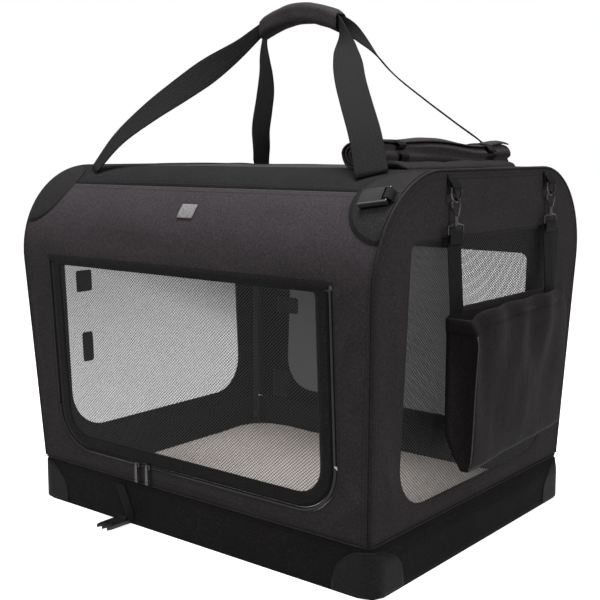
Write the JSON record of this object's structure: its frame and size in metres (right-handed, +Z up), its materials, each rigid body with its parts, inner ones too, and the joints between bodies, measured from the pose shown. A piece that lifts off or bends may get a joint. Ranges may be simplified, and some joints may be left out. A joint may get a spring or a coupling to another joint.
{
  "type": "folding pet crate",
  "caption": "Soft-sided folding crate: cloth and mesh walls on two folding tube hoops, roll-up front door, joined carrying handles, side pouch on snap hooks.",
  "frame": {"origin": "on the floor at the middle of the base cloth's underside", "axes": "+X along the crate towards the end with the pouch, +Y towards the rear wall (the front door faces -Y), +Z up"},
  "size_m": [0.8467, 0.6992, 0.9102],
  "materials": {
    "shell_cloth": "coated woven polyester",
    "dark_cloth": "coated woven polyester, darker",
    "mesh_cloth": "open knitted mesh",
    "fleece": "fleece over foam",
    "webbing": "ribbed webbing",
    "plastic": "moulded nylon",
    "board": "stiff board",
    "steel": "painted steel tube",
    "nickel": "black plated metal",
    "label_cloth": "woven label"
  },
  "bodies": {
    "base": {"base_frame": "steel", "fitting_front_left": "plastic", "fitting_front_right": "plastic", "fitting_rear_left": "plastic", "fitting_rear_right": "plastic", "pin_front_left": "nickel", "pin_front_right": "nickel", "pin_rear_left": "nickel", "pin_rear_right": "nickel", "base_cloth": "dark_cloth", "base_skirt": "dark_cloth", "floor_board": "board", "floor_mat": "fleece", "front_panel": "shell_cloth", "rear_panel": "shell_cloth", "left_end_panel": "shell_cloth", "right_end_panel": "shell_cloth", "rear_window": "mesh_cloth", "left_window": "mesh_cloth", "right_window": "mesh_cloth", "left_piping": "dark_cloth", "right_piping": "dark_cloth", "zip_left_run": "dark_cloth", "zip_right_run": "dark_cloth", "blank_label": "label_cloth"},
    "left_hoop": {"left_hoop": "steel"},
    "right_hoop": {"right_hoop": "steel"},
    "top": {"top_panel": "shell_cloth", "top_window": "mesh_cloth", "top_roll": "shell_cloth", "roll_tie_front": "webbing", "roll_tie_rear": "webbing"},
    "front_handle": {"front_handle": "webbing", "grip_wrap": "shell_cloth"},
    "rear_handle": {"rear_handle": "webbing"},
    "door_top": {"door_hinge_strip": "shell_cloth"},
    "front_door": {"front_door_border": "dark_cloth", "front_door_mesh": "mesh_cloth"},
    "zip_bottom": {"zip_bottom_run": "dark_cloth"},
    "slider_left": {"slider_left": "nickel"},
    "slider_right": {"slider_right": "nickel"},
    "pull_left": {"pull_left": "nickel"},
    "pull_right": {"pull_right": "nickel"},
    "pouch_tabs": {"tab_front": "webbing", "tab_rear": "webbing"},
    "pouch": {"pouch": "shell_cloth", "pouch_strap_front": "webbing", "pouch_strap_rear": "webbing", "ring_front": "nickel", "ring_rear": "nickel", "eye_front": "nickel", "eye_rear": "nickel"},
    "hook_front": {"hook_front": "nickel"},
    "hook_rear": {"hook_rear": "nickel"},
    "gate_front": {"gate_front": "nickel"},
    "gate_rear": {"gate_rear": "nickel"},
    "corner_tab": {"corner_tab": "webbing"},
    "corner_buckle": {"corner_buckle": "plastic"},
    "closing_strap": {"closing_strap": "webbing"},
    "closing_buckle": {"closing_buckle": "plastic"}
  },
  "joints": [
    {"name": "frame_fold", "type": "hinge", "parent": "base", "child": "left_hoop", "pos_m": [-0.36072, 0, 0.04621], "axis": [0, 1, 0], "range_deg": [0, 92.5], "deforming": ["front_panel", "rear_panel", "left_end_panel", "right_end_panel", "rear_window", "left_window", "right_window", "left_piping", "right_piping", "zip_left_run", "zip_right_run", "blank_label", "base_skirt", "closing_strap"]},
    {"name": "right_fold", "type": "hinge", "parent": "base", "child": "right_hoop", "pos_m": [0.36217, 0, 0.07949], "axis": [0, -1, 0], "range_deg": [0, 92.6]},
    {"name": "top_drop", "type": "slide", "parent": "base", "child": "top", "axis": [0, 0, -1], "range_m": [0, 0.47708], "deforming": ["top_panel", "top_window", "top_roll", "roll_tie_front", "roll_tie_rear", "front_handle", "rear_handle"]},
    {"name": "front_handle_swing", "type": "hinge", "parent": "top", "child": "front_handle", "pos_m": [0, -0.222, 0.60897], "axis": [1, 0, 0], "range_deg": [0, 127], "deforming": ["grip_wrap"]},
    {"name": "rear_handle_swing", "type": "hinge", "parent": "top", "child": "rear_handle", "pos_m": [0, 0.222, 0.60897], "axis": [-1, 0, 0], "range_deg": [0, 127]},
    {"name": "door_drop", "type": "slide", "parent": "base", "child": "door_top", "axis": [0, 0, -1], "range_m": [0, 0.33445], "deforming": ["door_hinge_strip", "front_door_border", "front_door_mesh"]},
    {"name": "front_door_swing", "type": "hinge", "parent": "door_top", "child": "front_door", "pos_m": [0, -0.32602, 0.4505], "axis": [-1, 0, 0], "range_deg": [0, 120]},
    {"name": "zip_drop", "type": "slide", "parent": "base", "child": "zip_bottom", "axis": [0, 0, -1], "range_m": [0, 0.0241], "deforming": ["zip_bottom_run"]},
    {"name": "slider_left_run", "type": "slide", "parent": "zip_bottom", "child": "slider_left", "axis": [1, 0, 0], "range_m": [-0.118, 0]},
    {"name": "slider_right_run", "type": "slide", "parent": "zip_bottom", "child": "slider_right", "axis": [1, 0, 0], "range_m": [0, 0.3]},
    {"name": "pull_left_swing", "type": "hinge", "parent": "slider_left", "child": "pull_left", "pos_m": [-0.112, -0.31425, 0.11245], "axis": [-1, 0, 0], "range_deg": [0, 120]},
    {"name": "pull_right_swing", "type": "hinge", "parent": "slider_right", "child": "pull_right", "pos_m": [-0.086, -0.31425, 0.11245], "axis": [-1, 0, 0], "range_deg": [0, 120]},
    {"name": "tabs_drop", "type": "slide", "parent": "base", "child": "pouch_tabs", "axis": [0, 0, -1], "range_m": [0, 0.4618], "deforming": ["pouch", "pouch_strap_front", "pouch_strap_rear"]},
    {"name": "pouch_swing", "type": "hinge", "parent": "pouch_tabs", "child": "pouch", "pos_m": [0.40432, 0, 0.592], "axis": [0, -1, 0], "range_deg": [0, 90]},
    {"name": "hook_front_swivel", "type": "hinge", "parent": "pouch", "child": "hook_front", "pos_m": [0.40432, -0.14, 0.54165], "axis": [0, 0, 1], "range_deg": [-20, 20]},
    {"name": "hook_rear_swivel", "type": "hinge", "parent": "pouch", "child": "hook_rear", "pos_m": [0.40432, 0.176, 0.54165], "axis": [0, 0, 1], "range_deg": [-20, 20]},
    {"name": "gate_front_spring", "type": "hinge", "parent": "hook_front", "child": "gate_front", "pos_m": [0.40832, -0.14, 0.55055], "axis": [0, -1, 0], "range_deg": [0, 25], "stiffness_Nm_per_rad": 0.02, "springref_deg": -11.46},
    {"name": "gate_rear_spring", "type": "hinge", "parent": "hook_rear", "child": "gate_rear", "pos_m": [0.40832, 0.176, 0.55055], "axis": [0, -1, 0], "range_deg": [0, 25], "stiffness_Nm_per_rad": 0.02, "springref_deg": -11.46},
    {"name": "corner_turn", "type": "hinge", "parent": "right_hoop", "child": "corner_tab", "pos_m": [0.38507, 0, 0.57557], "axis": [0, 1, 0], "range_deg": [0, 92.6]},
    {"name": "corner_buckle_swing", "type": "hinge", "parent": "corner_tab", "child": "corner_buckle", "pos_m": [0.37512, -0.27494, 0.58481], "axis": [-0.2079, 0.7493, 0.6287], "range_deg": [0, 100]},
    {"name": "closing_strap_swing", "type": "hinge", "parent": "base", "child": "closing_strap", "pos_m": [-0.1595, -0.3092, 0.066], "axis": [-1, 0, 0], "range_deg": [0, 90]},
    {"name": "closing_buckle_swing", "type": "hinge", "parent": "closing_strap", "child": "closing_buckle", "pos_m": [-0.1375, -0.3247, 0.011], "axis": [-1, 0, 0], "range_deg": [0, 60]}
  ],
  "couplings": [
    {"joint": "right_fold", "follows": "frame_fold", "ratio": 1},
    {"joint": "corner_turn", "follows": "frame_fold", "ratio": 1},
    {"joint": "top_drop", "follows": "frame_fold", "m_per_rad": 0.29489},
    {"joint": "door_drop", "follows": "frame_fold", "m_per_rad": 0.20654},
    {"joint": "zip_drop", "follows": "frame_fold", "m_per_rad": 0.014278},
    {"joint": "tabs_drop", "follows": "frame_fold", "m_per_rad": 0.28543}
  ]
}
